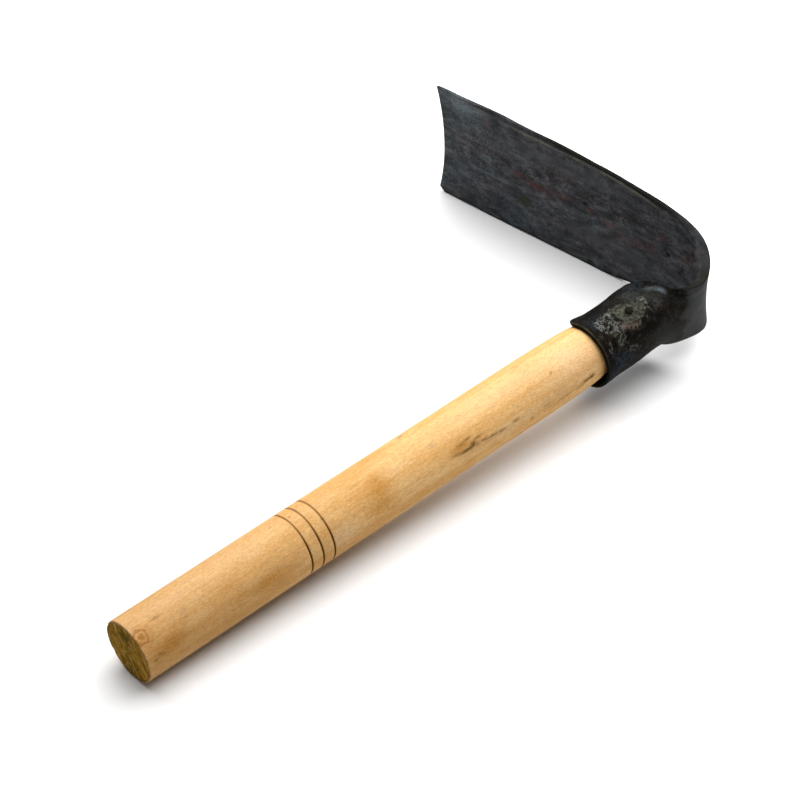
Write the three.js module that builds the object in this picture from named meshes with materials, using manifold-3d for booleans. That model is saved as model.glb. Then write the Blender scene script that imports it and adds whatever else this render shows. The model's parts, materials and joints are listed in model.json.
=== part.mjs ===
// Draw hoe: a round wooden handle driven into the rolled socket of a head forged from one plate.
// Millimetres, +Z up. The hoe lies on its side on the floor, z = 0, touching it with the bottom of
// the handle's butt and with the lower long edge of the blade. The handle runs along +X.
import * as THREE from 'three';
import { LoftGeometry } from 'three/addons/geometries/LoftGeometry.js';
import { mergeVertices } from 'three/addons/utils/BufferGeometryUtils.js';
import Module from 'manifold-3d';

const wasm = await Module();
wasm.setup();

const { degToRad, smoothstep } = THREE.MathUtils;

// ---- Handle: butt face at x = 0, axis along +X --------------------------------------------------
const GRIP_LENGTH = 291.5; // butt face to socket mouth
const GRIP_RADIUS = 16.5;
const MOUTH_RADIUS = 15.4; // what is left of the round where it enters the mouth
const MOUTH_TAPER = 38; // length over which the grip comes down to that
const BUTT_EASE = 0.7;
const GROOVES = [96.8, 103.8, 110.8]; // three turned rings, distance of each from the butt
const GROOVE_HALF_WIDTH = 0.8;
const GROOVE_DEPTH = 0.7;
const TENON_LENGTH = 42; // whittled end inside the socket
const TENON_SHOULDER = 8; // length over which it drops clear of the tube's wall
const TENON_RADIUS = 14.0;
const TENON_TIP_RADIUS = 12.6;
const HANDLE_SIDES = 40;

// ---- Head: a strip measured by s, from the socket mouth along its length to the cutting edge -----
const TUBE_RADIUS = 16.8; // to the middle of the wall
const MOUTH_FLARE = 1.0; // the mouth is this much wider
const FLARE_LENGTH = 7;
const TUBE_OFFSET_Y = -0.6; // tube centre off the handle's axis
const TUBE_OFFSET_Z = -1.0;
const SEAM_GAP = 2; // between the two rolled flaps
const FLAP_CORNER = 11; // how far the mouth is cut back at the corners of the flaps
const FLAP_CORNER_FROM = 0.64; // part of the half width where that rounding begins
const CORNER_FADE = 34; // length of socket over which the rows straighten again
const UNCURL_FROM = 42; // the tube opens out into flat plate between these
const UNCURL_TO = 72;
const BEND_START = 58.4;
const BEND_RADIUS = 32; // middle of the plate
const BLADE_ANGLE = 82.5; // between the blade and the handle
const BLADE_LENGTH = 167.6; // bend to cutting edge
const EDGE_HOLLOW = 4.6; // how far the middle of the cutting edge lies behind its corners
const HOLLOW_FADE = 60; // length of blade over which the rows straighten again
const SADDLE = 1.2; // edges of the bend stand out from its middle
const SADDLE_FROM = 62;
const SADDLE_TO = 114;
const STRIP_COLUMNS = 22;

const BEND_LENGTH = BEND_RADIUS * degToRad(180 - BLADE_ANGLE);
const STRIP_LENGTH = BEND_START + BEND_LENGTH + BLADE_LENGTH;

// Stations of the strip: distance from the mouth, half width, thickness
const STATIONS = [
  [0, 58, 1.7],
  [8, 58, 2.2],
  [36, 55, 2.3],
  [41, 48.5, 2.4],
  [45, 38.5, 2.5],
  [49, 29.5, 2.7],
  [53, 22, 3.0],
  [57, 19.3, 3.3],
  [64, 17.8, 3.7],
  [72, 17, 4.1],
  [80, 18.4, 4.2],
  [97, 23.3, 4.2],
  [110, 26.4, 4.0],
  [121, 29, 3.3],
  [131, 31, 2.9],
  [148, 33.8, 2.6],
  [166, 35.2, 2.6],
  [180, 35.37, 2.6],
  [266, 36.43, 2.4],
  [STRIP_LENGTH - 2, 36.6, 1.4],
  [STRIP_LENGTH, 36.2, 1.1],
];

// Rows of the loft: end of the stretch, number of steps in it
const ROWS = [[8, 3], [36, 4], [57, 9], [BEND_START, 1], [BEND_START + BEND_LENGTH, 13],
  [STRIP_LENGTH - 60, 7], [STRIP_LENGTH - 12, 4], [STRIP_LENGTH - 2, 2], [STRIP_LENGTH, 1]];

// ---- Nail through the socket wall into the tenon ------------------------------------------------
const NAIL_FROM_MOUTH = 27.8;
const NAIL_ANGLE = 75; // round the tube, from its -Y side towards its top
const NAIL_HEAD_RADIUS = 2.2;
const NAIL_HEAD_HEIGHT = 0.9;
const NAIL_SHANK_RADIUS = 1.1;
const NAIL_LENGTH = 14;
const NAIL_TIP = 3;
const NAIL_SIDES = 12;
const GAP = 0.3;

// ---- Materials ----------------------------------------------------------------------------------
function material(color, roughness, metalness) {
  return new THREE.MeshStandardMaterial({ color, roughness, metalness });
}

const wood = material(0xe6c08a, 0.62, 0);
const forgedSteel = material(0x43474c, 0.55, 0.75);
const nailSteel = material(0x2b2725, 0.7, 0.6);

function mesh(name, geometry, finish) {
  const m = new THREE.Mesh(geometry, finish);
  m.name = name;
  return m;
}

// ---- Solids in and out of manifold-3d -----------------------------------------------------------
function toSolid(geometry) {
  const bare = new THREE.BufferGeometry();
  bare.setAttribute('position', geometry.attributes.position);
  bare.setIndex(geometry.index);
  const merged = mergeVertices(bare, 1e-4);
  const index = merged.index.array;
  const triangles = [];
  for (let i = 0; i < index.length; i += 3) {
    const [a, b, c] = [index[i], index[i + 1], index[i + 2]];
    if (a !== b && b !== c && c !== a) triangles.push(a, b, c);
  }
  return new wasm.Manifold(new wasm.Mesh({
    numProp: 3,
    vertProperties: new Float32Array(merged.attributes.position.array),
    triVerts: new Uint32Array(triangles),
  }));
}

function toGeometry(solid) {
  const m = solid.getMesh();
  const geometry = new THREE.BufferGeometry();
  geometry.setAttribute('position', new THREE.BufferAttribute(m.vertProperties, 3));
  geometry.setIndex(new THREE.BufferAttribute(m.triVerts, 1));
  geometry.computeVertexNormals();
  return geometry;
}

const cut = (geometry, tool) => toGeometry(toSolid(geometry).subtract(toSolid(tool)));

// A profile of [distance along the axis, radius] turned about the X axis
function turned(profile, sides) {
  const points = profile.map(([x, r]) => new THREE.Vector2(r, x));
  return new THREE.LatheGeometry(points, sides).rotateZ(-Math.PI / 2);
}

// ---- Handle -------------------------------------------------------------------------------------
function handleGeometry() {
  const profile = [[0, 0], [0, GRIP_RADIUS - BUTT_EASE], [BUTT_EASE, GRIP_RADIUS]];
  for (const x of GROOVES) {
    profile.push([x - GROOVE_HALF_WIDTH, GRIP_RADIUS]);
    profile.push([x, GRIP_RADIUS - GROOVE_DEPTH]);
    profile.push([x + GROOVE_HALF_WIDTH, GRIP_RADIUS]);
  }
  for (let i = 0; i <= 4; i++) {
    const x = GRIP_LENGTH - MOUTH_TAPER * (1 - i / 4);
    profile.push([x, THREE.MathUtils.lerp(GRIP_RADIUS, MOUTH_RADIUS, (i / 4) ** 2)]);
  }
  profile.push([GRIP_LENGTH + TENON_SHOULDER, TENON_RADIUS]);
  profile.push([GRIP_LENGTH + TENON_LENGTH, TENON_TIP_RADIUS]);
  profile.push([GRIP_LENGTH + TENON_LENGTH, 0]);
  return turned(profile, HANDLE_SIDES);
}

// ---- Head ---------------------------------------------------------------------------------------
// Half width (column 1) or thickness (column 2) of the strip at s: a monotone cubic through STATIONS
function station(s, column) {
  const last = STATIONS.length - 2;
  let k = 0;
  while (k < last && s > STATIONS[k + 1][0]) k++;
  const slope = (i) => {
    if (i < 0 || i > last) return 0;
    return (STATIONS[i + 1][column] - STATIONS[i][column]) / (STATIONS[i + 1][0] - STATIONS[i][0]);
  };
  const tangent = (i) => {
    const before = slope(i - 1);
    const after = slope(i);
    return before * after > 0 ? (2 * before * after) / (before + after) : 0;
  };
  const span = STATIONS[k + 1][0] - STATIONS[k][0];
  const t = (s - STATIONS[k][0]) / span;
  const y0 = STATIONS[k][column];
  const y1 = STATIONS[k + 1][column];
  const bow = (1 - t) * span * tangent(k) - t * span * tangent(k + 1) - (1 - 2 * t) * (y1 - y0);
  return y0 + (y1 - y0) * t + t * (1 - t) * bow;
}

const tubeRadius = (s) => TUBE_RADIUS + MOUTH_FLARE * Math.exp(-((s / FLARE_LENGTH) ** 2));

// Middle line of the strip's outer side in plan, and the direction it heads in
function spine(s) {
  const y = TUBE_OFFSET_Y - TUBE_RADIUS;
  if (s < BEND_START) {
    return { x: GRIP_LENGTH + s, y: y + TUBE_RADIUS - tubeRadius(s), heading: 0 };
  }
  const heading = Math.min(s - BEND_START, BEND_LENGTH) / BEND_RADIUS;
  const straight = Math.max(s - BEND_START - BEND_LENGTH, 0);
  return {
    x: GRIP_LENGTH + BEND_START + BEND_RADIUS * Math.sin(heading) + straight * Math.cos(heading),
    y: y + BEND_RADIUS * (1 - Math.cos(heading)) + straight * Math.sin(heading),
    heading,
  };
}

// Point of the strip at s, across it at v (-1 lower edge, 1 upper edge), off its middle surface by
// depth (positive towards the inside of the tube and of the bend)
function stripPoint(s, v, depth) {
  const radius = tubeRadius(s);
  const halfWidth = Math.min(station(s, 1), Math.PI * radius - SEAM_GAP / 2);
  const curl = (1 - smoothstep(s, UNCURL_FROM, UNCURL_TO)) / radius;
  const hollow = EDGE_HOLLOW * (1 - v * v) * smoothstep(s, STRIP_LENGTH - HOLLOW_FADE, STRIP_LENGTH);
  const cutBack = FLAP_CORNER * smoothstep(Math.abs(v), FLAP_CORNER_FROM, 1);
  const corner = cutBack * Math.max(1 - s / CORNER_FADE, 0);
  const along = spine(s + corner - hollow);
  const across = v * halfWidth;
  const turn = curl * across;
  const inward = curl > 0 ? (1 - Math.cos(turn)) / curl : 0;
  const rise = curl > 0 ? Math.sin(turn) / curl : across;
  const window = Math.min(Math.max((s - SADDLE_FROM) / (SADDLE_TO - SADDLE_FROM), 0), 1);
  const saddle = SADDLE * v * v * Math.sin(Math.PI * window) ** 2;
  const off = inward - saddle + depth * Math.cos(turn);
  const drop = TUBE_OFFSET_Z * (1 - smoothstep(s, UNCURL_FROM, UNCURL_TO));
  return new THREE.Vector3(
    along.x - off * Math.sin(along.heading),
    along.y + off * Math.cos(along.heading),
    rise + drop - depth * Math.sin(turn),
  );
}

// Closed ring round the strip at s: down the outer face, back up the inner one
function stripSection(s, thickness) {
  const ring = [];
  for (let j = 0; j <= STRIP_COLUMNS; j++) {
    ring.push(stripPoint(s, 1 - (2 * j) / STRIP_COLUMNS, -thickness / 2));
  }
  for (let j = 0; j <= STRIP_COLUMNS; j++) {
    ring.push(stripPoint(s, (2 * j) / STRIP_COLUMNS - 1, thickness / 2));
  }
  return ring;
}

// The first and last rings have no thickness, which closes the two ends
function headGeometry() {
  const sections = [stripSection(0, 0), stripSection(0, station(0, 2))];
  let from = 0;
  for (const [to, steps] of ROWS) {
    for (let i = 1; i <= steps; i++) {
      const s = from + ((to - from) * i) / steps;
      sections.push(stripSection(s, station(s, 2)));
    }
    from = to;
  }
  sections.push(stripSection(STRIP_LENGTH, 0));
  return new LoftGeometry(sections, { closed: true });
}

// ---- Nail ---------------------------------------------------------------------------------------
// Along +X from the head's top, with the wall's outer face at x = NAIL_HEAD_HEIGHT + GAP
function nailGeometry() {
  return turned([
    [0, 0], [0, NAIL_HEAD_RADIUS * 0.6], [NAIL_HEAD_HEIGHT * 0.5, NAIL_HEAD_RADIUS],
    [NAIL_HEAD_HEIGHT, NAIL_HEAD_RADIUS], [NAIL_HEAD_HEIGHT, NAIL_SHANK_RADIUS],
    [NAIL_LENGTH - NAIL_TIP, NAIL_SHANK_RADIUS], [NAIL_LENGTH, 0],
  ], NAIL_SIDES);
}

// Plain round hole for the shank, open at the wall's side
function nailHole() {
  const radius = NAIL_SHANK_RADIUS + GAP;
  const depth = NAIL_LENGTH + GAP;
  return turned([[-4, 0], [-4, radius], [depth, radius], [depth, 0]], NAIL_SIDES);
}

function placeNail(object) {
  const angle = degToRad(NAIL_ANGLE);
  const outward = new THREE.Vector3(0, -Math.cos(angle), Math.sin(angle));
  const reach = TUBE_RADIUS + station(NAIL_FROM_MOUTH, 2) / 2 + GAP + NAIL_HEAD_HEIGHT;
  object.position.set(GRIP_LENGTH + NAIL_FROM_MOUTH, TUBE_OFFSET_Y, TUBE_OFFSET_Z);
  object.position.addScaledVector(outward, reach);
  object.quaternion.setFromUnitVectors(new THREE.Vector3(1, 0, 0), outward.negate());
  object.updateMatrix();
  return object;
}

// ---- The hoe in the handle's own frame ----------------------------------------------------------
const hole = nailHole().applyMatrix4(placeNail(new THREE.Object3D()).matrix);

const hoe = new THREE.Group();
hoe.add(mesh('handle', cut(handleGeometry(), hole), wood));
hoe.add(mesh('hoe_head', cut(headGeometry(), hole), forgedSteel));
hoe.add(placeNail(mesh('socket_nail', nailGeometry(), nailSteel)));

// ---- Laid on the floor --------------------------------------------------------------------------
// The floor touches the butt's lowest point and the lower arris of the blade's inner face
function floorNormal() {
  const foot = new THREE.Vector3(BUTT_EASE, 0, -GRIP_RADIUS);
  const shoulder = stripPoint(166, -1, station(166, 2) / 2);
  const tip = stripPoint(STRIP_LENGTH - 12, -1, station(STRIP_LENGTH - 12, 2) / 2);
  return shoulder.sub(foot).cross(tip.sub(foot)).normalize();
}

hoe.quaternion.setFromUnitVectors(floorNormal(), new THREE.Vector3(0, 0, 1));

const part = new THREE.Group();
part.add(hoe);
const box = new THREE.Box3().setFromObject(part, true);
const centre = box.getCenter(new THREE.Vector3());
hoe.position.set(-centre.x, -centre.y, -box.min.z);

export default part;
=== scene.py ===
import json
import math

import bpy
import numpy as np
from mathutils import Matrix, Vector


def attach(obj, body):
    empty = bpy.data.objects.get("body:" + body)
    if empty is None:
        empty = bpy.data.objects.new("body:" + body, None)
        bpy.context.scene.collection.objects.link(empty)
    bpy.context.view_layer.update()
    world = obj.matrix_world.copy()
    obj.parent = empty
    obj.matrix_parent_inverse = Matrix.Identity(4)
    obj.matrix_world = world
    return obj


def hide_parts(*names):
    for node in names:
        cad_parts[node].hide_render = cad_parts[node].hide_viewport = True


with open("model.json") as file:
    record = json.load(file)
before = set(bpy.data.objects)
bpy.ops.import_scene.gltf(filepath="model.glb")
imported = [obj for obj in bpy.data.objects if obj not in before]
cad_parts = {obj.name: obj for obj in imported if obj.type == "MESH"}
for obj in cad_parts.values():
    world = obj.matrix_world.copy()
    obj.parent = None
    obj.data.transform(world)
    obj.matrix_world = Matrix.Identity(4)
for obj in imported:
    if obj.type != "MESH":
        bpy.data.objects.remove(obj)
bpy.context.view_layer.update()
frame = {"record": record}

MM = 0.001

# ---- Handle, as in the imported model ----
GRIP_LENGTH = 291.5
GRIP_RADIUS = 16.5
MOUTH_RADIUS = 15.4
MOUTH_TAPER = 38
BUTT_EASE = 0.7
GROOVES = (96.8, 103.8, 110.8)
GROOVE_HALF_WIDTH = 0.8
GROOVE_DEPTH = 0.7
TENON_LENGTH = 42
TENON_SHOULDER = 8
TENON_RADIUS = 14.0
TENON_TIP_RADIUS = 12.6

# ---- Head: a strip measured by s, from the socket mouth to the cutting edge ----
TUBE_RADIUS = 16.8
MOUTH_FLARE = 1.0
FLARE_LENGTH = 7
TUBE_OFFSET_Y = -0.6
TUBE_OFFSET_Z = -1.0
SEAM_GAP = 2
FLAP_CORNER = 11
FLAP_CORNER_FROM = 0.64
CORNER_FADE = 34
UNCURL_FROM = 42
UNCURL_TO = 72
BEND_START = 58.4
BEND_RADIUS = 32
BLADE_ANGLE = 82.5
BLADE_LENGTH = 167.6
EDGE_HOLLOW = 4.6
HOLLOW_FADE = 60
SADDLE = 1.2
SADDLE_FROM = 62
SADDLE_TO = 114
BEND_LENGTH = BEND_RADIUS * math.radians(180 - BLADE_ANGLE)
STRIP_LENGTH = BEND_START + BEND_LENGTH + BLADE_LENGTH
RESTS_AT = (166, STRIP_LENGTH - 12)  # places of the lower edge that stand on the floor

# Stations of the strip: distance from the mouth, half width, thickness
STATIONS = np.array([
    (0, 58, 1.7), (8, 58, 2.2), (36, 55, 2.3), (41, 48.5, 2.4), (45, 38.5, 2.5), (49, 29.5, 2.7),
    (53, 22, 3.0), (57, 19.3, 3.3), (64, 17.8, 3.7), (72, 17, 4.1), (80, 18.4, 4.2),
    (97, 23.3, 4.2), (110, 26.4, 4.0), (121, 29, 3.3), (131, 31, 2.9), (148, 33.8, 2.6),
    (166, 35.2, 2.6), (180, 35.37, 2.6), (266, 36.43, 2.4), (STRIP_LENGTH - 2, 36.6, 1.4),
    (STRIP_LENGTH, 36.2, 1.1),
])

# ---- Nail ----
NAIL_FROM_MOUTH = 27.8
NAIL_ANGLE = 75
NAIL_HEAD_RADIUS = 2.2
NAIL_HEAD_HEIGHT = 0.9
NAIL_SHANK_RADIUS = 1.1
NAIL_LENGTH = 14
NAIL_TIP = 3
NAIL_POINT_RADIUS = 0.08
NAIL_SHANK_FROM = 1.6
GAP = 0.3

# ---- Fineness of the meshes ----
STRIP_STEP = 0.85  # between the rows of the head
STRIP_COLUMNS = 112  # across each face of the head
ARRIS_STEPS = 6  # round each long edge of the head
HANDLE_STEP = 1.0
HANDLE_SIDES = 176
GROOVE_STEP = 0.13
BUTT_RINGS = 34
NAIL_SIDES = 28
NAIL_RINGS = 8

# ---- Camera and light ----
CAMERA_PLACE = (-0.5981, -0.7386, 0.8351)
CAMERA_AZIMUTH = -41.15
CAMERA_ELEVATION = 41.24
CAMERA_ROLL = -0.61
CAMERA_LENS = 109.35
SENSOR_WIDTH = 36
NEAR_CLIP = 0.01
SOFTBOX_PLACE = (0.45, 0.2, 1.0)
SOFTBOX_AIM = (0.12, 0, 0)
SOFTBOX_SIZE = 2.1
SOFTBOX_POWER = 48
SKY_STRENGTH = 0.15
FLOOR_HALF_SIDE = 6.0
SQUARE = ((-1, -1), (1, -1), (1, 1), (-1, 1))
FLOOR_COLOUR = (0.77, 0.77, 0.77)


def smoothstep(x, low, high):
    """0 up to low, 1 from high on and eased between; low may be the larger"""
    t = np.clip((x - low) / (high - low), 0, 1)
    return t * t * (3 - 2 * t)


def hump(x, centre, half_width):
    """1 at centre, falling off like a bell"""
    return np.exp(-(((x - centre) / half_width) ** 2))


# ---- Smooth noise for the relief of the meshes ----
LATTICE = 32
SEED_SHIFT = 0.37  # cells by which each seed moves the lattice


def relief_noise(points, cell, seed):
    """Smooth noise from -1 to 1 at points (..., 3), with features of the size cell on each axis"""
    corners = np.random.default_rng(seed).uniform(-1, 1, (LATTICE,) * 3)
    place = np.asarray(points, float) / np.asarray(cell, float) + SEED_SHIFT * seed
    low = np.floor(place).astype(int)
    t = place - low
    t = t * t * (3 - 2 * t)
    total = 0
    for corner in np.ndindex(2, 2, 2):
        weight = np.prod(np.where(corner, t, 1 - t), axis=-1)
        i, j, k = np.moveaxis((low + corner) % LATTICE, -1, 0)
        total = total + weight * corners[i, j, k]
    return total


def wrapped_degrees(angle):
    return (angle + 180) % 360 - 180


# ---- The strip's shape ----
def station(s, column):
    """Half width (column 1) or thickness (column 2) at s: a monotone cubic through STATIONS"""
    x = STATIONS[:, 0]
    y = STATIONS[:, column]
    slope = np.diff(y) / np.diff(x)
    tangent = np.zeros(len(x))
    same_way = slope[:-1] * slope[1:] > 0
    total = np.where(same_way, slope[:-1] + slope[1:], 1)
    tangent[1:-1] = np.where(same_way, 2 * slope[:-1] * slope[1:] / total, 0)
    k = np.clip(np.searchsorted(x, s) - 1, 0, len(x) - 2)
    span = x[k + 1] - x[k]
    t = (s - x[k]) / span
    bow = (1 - t) * span * tangent[k] - t * span * tangent[k + 1] - (1 - 2 * t) * (y[k + 1] - y[k])
    return y[k] + (y[k + 1] - y[k]) * t + t * (1 - t) * bow


def tube_radius(s):
    return TUBE_RADIUS + MOUTH_FLARE * np.exp(-((s / FLARE_LENGTH) ** 2))


def half_width(s):
    return np.minimum(station(s, 1), math.pi * tube_radius(s) - SEAM_GAP / 2)


def curl_of(s):
    """Curvature of the strip across its width"""
    return (1 - smoothstep(s, UNCURL_FROM, UNCURL_TO)) / tube_radius(s)


def spine(s):
    """Middle line of the strip's outer side in plan, and the direction it heads in"""
    heading = np.clip(s - BEND_START, 0, BEND_LENGTH) / BEND_RADIUS
    straight = np.maximum(s - BEND_START - BEND_LENGTH, 0)
    mouth = np.where(s < BEND_START, TUBE_RADIUS - tube_radius(s), 0)
    x = GRIP_LENGTH + np.minimum(s, BEND_START) + BEND_RADIUS * np.sin(heading)
    y = TUBE_OFFSET_Y - TUBE_RADIUS + mouth + BEND_RADIUS * (1 - np.cos(heading))
    return x + straight * np.cos(heading), y + straight * np.sin(heading), heading


def strip_point(s, across, depth):
    """Point of the strip; depth is positive towards the inside of the tube and of the bend"""
    v = across / half_width(s)
    curl = curl_of(s)
    hollow = EDGE_HOLLOW * (1 - v * v) * smoothstep(s, STRIP_LENGTH - HOLLOW_FADE, STRIP_LENGTH)
    corner = FLAP_CORNER * smoothstep(np.abs(v), FLAP_CORNER_FROM, 1)
    corner = corner * np.maximum(1 - s / CORNER_FADE, 0)
    x, y, heading = spine(s + corner - hollow)
    turn = curl * across
    divisor = np.where(curl > 1e-9, curl, 1)
    inward = np.where(curl > 1e-9, (1 - np.cos(turn)) / divisor, 0)
    rise = np.where(curl > 1e-9, np.sin(turn) / divisor, across)
    window = np.clip((s - SADDLE_FROM) / (SADDLE_TO - SADDLE_FROM), 0, 1)
    saddle = SADDLE * v * v * np.sin(math.pi * window) ** 2
    off = inward - saddle + depth * np.cos(turn)
    drop = TUBE_OFFSET_Z * (1 - smoothstep(s, UNCURL_FROM, UNCURL_TO))
    return np.stack([
        x - off * np.sin(heading),
        y + off * np.cos(heading),
        rise + drop - depth * np.sin(turn),
    ], axis=-1)


# ---- From the handle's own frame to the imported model's place ----
def lower_inner_arris(s):
    s = np.array(float(s))
    return Vector(strip_point(s, -half_width(s), station(s, 2) / 2))


def placement():
    """The hoe rests on the butt's lowest point and on the blade's lower arris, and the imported
    model's mount says where the butt's centre is"""
    foot = Vector((BUTT_EASE, 0, -GRIP_RADIUS))
    shoulder, tip = (lower_inner_arris(s) - foot for s in RESTS_AT)
    normal = shoulder.cross(tip).normalized()
    turn = normal.rotation_difference(Vector((0, 0, 1))).to_matrix().to_4x4()
    butt = next(m for m in frame["record"]["mounts"] if m["name"] == "butt_face")
    return Matrix.Translation(butt["pos_m"]) @ turn @ Matrix.Scale(MM, 4)


PLACE = np.array(placement())


def placed(points):
    return np.asarray(points).reshape(-1, 3) @ PLACE[:3, :3].T + PLACE[:3, 3]


# ---- Meshes ----
def grid_quads(rows, columns):
    """Faces of a grid of points whose last column joins its first"""
    row, column = np.meshgrid(np.arange(rows - 1), np.arange(columns), indexing="ij")
    after = (column + 1) % columns
    a = row * columns + column
    b = row * columns + after
    return np.stack([a, b, b + columns, a + columns], axis=-1).reshape(-1, 4).tolist()


def make_piece(name, points, faces, attributes, material, node):
    """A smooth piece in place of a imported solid; attributes are numbers or vectors at its points"""
    mesh = bpy.data.meshes.new(name)
    mesh.from_pydata(placed(points).tolist(), [], faces)
    for key, values in attributes.items():
        values = np.asarray(values, np.float32)
        kind, field = ("FLOAT_VECTOR", "vector") if values.ndim == 2 else ("FLOAT", "value")
        mesh.attributes.new(key, kind, "POINT").data.foreach_set(field, values.ravel())
    mesh.shade_smooth()
    mesh.materials.append(material)
    piece = bpy.data.objects.new(name, mesh)
    bpy.context.scene.collection.objects.link(piece)
    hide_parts(node)
    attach(piece, "root")
    return piece


def marks_mask(marks, along, across, wrap=None):
    """Sum of soft oval marks: (along, across, half length, half width, strength)"""
    total = np.zeros(along.shape)
    for place, side, length, width, strength in marks:
        aside = across - side
        if wrap:
            aside = (aside + wrap / 2) % wrap - wrap / 2
        total += strength * np.exp(-(((along - place) / length) ** 2) - ((aside / width) ** 2))
    return np.clip(total, 0, 1)


# ---- Shader nodes ----
class Shader:
    """A material being wired up; each method adds a node and gives back its output"""

    def __init__(self, name):
        self.material = bpy.data.materials.new(name)
        self.material.use_nodes = True
        self.tree = self.material.node_tree
        self.principled = self.tree.nodes["Principled BSDF"]

    def add(self, kind, inputs=(), **settings):
        node = self.tree.nodes.new(kind)
        for key, value in settings.items():
            setattr(node, key, value)
        for key, value in dict(inputs).items():
            self.plug(node.inputs[key], value)
        return node

    def plug(self, socket, value):
        if isinstance(value, bpy.types.NodeSocket):
            self.tree.links.new(value, socket)
        elif isinstance(value, tuple) and len(value) == 3 and socket.type == "RGBA":
            socket.default_value = (*value, 1)
        else:
            socket.default_value = value

    def set(self, **inputs):
        for key, value in inputs.items():
            self.plug(self.principled.inputs[key.replace("_", " ")], value)

    def number(self, name):
        return self.add("ShaderNodeAttribute", attribute_name=name).outputs["Fac"]

    def vector(self, name, scale=(1, 1, 1), turn=(0, 0, 0)):
        source = self.add("ShaderNodeAttribute", attribute_name=name).outputs["Vector"]
        inputs = {"Vector": source, "Scale": scale, "Rotation": turn}
        return self.add("ShaderNodeMapping", inputs).outputs["Vector"]

    def noise(self, vector, scale, detail=3.0, roughness=0.5, distortion=0.0):
        inputs = {"Vector": vector, "Scale": scale, "Detail": detail, "Roughness": roughness}
        node = self.add("ShaderNodeTexNoise", {**inputs, "Distortion": distortion})
        return node.outputs["Fac"]

    def warped(self, vector, scale, amount):
        """The vector pushed about by noise"""
        inputs = {"Vector": vector, "Scale": scale, "Detail": 2.0}
        push = self.add("ShaderNodeTexNoise", inputs).outputs["Color"]
        push = self.vector_math("SUBTRACT", {0: push, 1: (0.5, 0.5, 0.5)})
        push = self.vector_math("SCALE", {0: push, "Scale": amount})
        return self.vector_math("ADD", {0: vector, 1: push})

    def vector_math(self, operation, inputs):
        return self.add("ShaderNodeVectorMath", inputs, operation=operation).outputs[0]

    def math(self, operation, a, b=0.0):
        return self.add("ShaderNodeMath", {0: a, 1: b}, operation=operation).outputs[0]

    def ramp(self, value, low, high, to_low=0.0, to_high=1.0):
        """The value's range from low to high, eased and clamped, spread over another range"""
        inputs = {"Value": value, "From Min": low, "From Max": high}
        inputs |= {"To Min": to_low, "To Max": to_high}
        return self.add("ShaderNodeMapRange", inputs, interpolation_type="SMOOTHSTEP").outputs[0]

    def broken(self, name, pattern, low, high, to_low=0.0, to_high=1.0):
        """An attribute broken up by a pattern"""
        ramp = self.ramp(pattern, low, high, to_low, to_high)
        return self.math("MULTIPLY", self.number(name), ramp)

    def mix(self, factor, a, b, blend="MIX"):
        node = self.add("ShaderNodeMix", data_type="RGBA", blend_type=blend)
        self.plug(node.inputs["Factor"], factor)
        self.plug(node.inputs["A"], a)
        self.plug(node.inputs["B"], b)
        return node.outputs["Result"]

    def bump(self, height, strength, distance, normal=None):
        inputs = {"Height": height, "Strength": strength, "Distance": distance}
        node = self.add("ShaderNodeBump", inputs)
        if normal is not None:
            self.plug(node.inputs["Normal"], normal)
        return node.outputs["Normal"]


# ---- Steel of the head ----
# Colours, linear
SLATE = (0.040, 0.044, 0.047)
SLATE_VIOLET = (0.046, 0.044, 0.049)
TEAL = (0.040, 0.051, 0.057)
CALM_GREY = (0.050, 0.051, 0.055)
NECK_GREY = (0.0345, 0.0345, 0.0335)
BLUE = (0.046, 0.062, 0.074)
OLIVE = (0.022, 0.024, 0.010)
BROWN = (0.019, 0.014, 0.012)
RUST = (0.092, 0.031, 0.021)
DARK_RUST = (0.054, 0.021, 0.019)
SOOT = (0.002, 0.002, 0.0016)
SOOT_BROWN = (0.010, 0.0072, 0.0056)
SOOT_OLIVE = (0.021, 0.022, 0.014)
SOOT_BLUE = (0.009, 0.016, 0.025)
SOCKET_OLIVE = (0.0165, 0.0172, 0.0132)
SOCKET_BROWN = (0.007, 0.0048, 0.0036)
SOCKET_RUST = (0.014, 0.008, 0.007)
BLACK_SCALE_AND_SHADE = (0.003, 0.003, 0.0025)
UNDER_LIP_SHADE = (0.012, 0.005, 0.004)
INSIDE_SHADE = (0.003, 0.003, 0.003)
EDGE_SHADE_BLACK = (0.005, 0.005, 0.003)
MOUTH_WOOD_REFLECTION = (0.060, 0.040, 0.013)
BARED_DARK = (0.015, 0.0148, 0.010)
BARED_LIGHT = (0.050, 0.051, 0.039)
BARED_PINK = (0.118, 0.084, 0.070)
SCRATCH = (0.082, 0.088, 0.078)
BARED_AND_HIGHLIGHT = (0.098, 0.116, 0.126)
ARRIS_HIGHLIGHT = (0.125, 0.125, 0.088)

STEEL_SPECULAR = 0.02
SCALE_BUMP = (0.4, 0.0005)  # strength, metres
PATCH_BUMP = (0.4, 0.0008)

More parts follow.
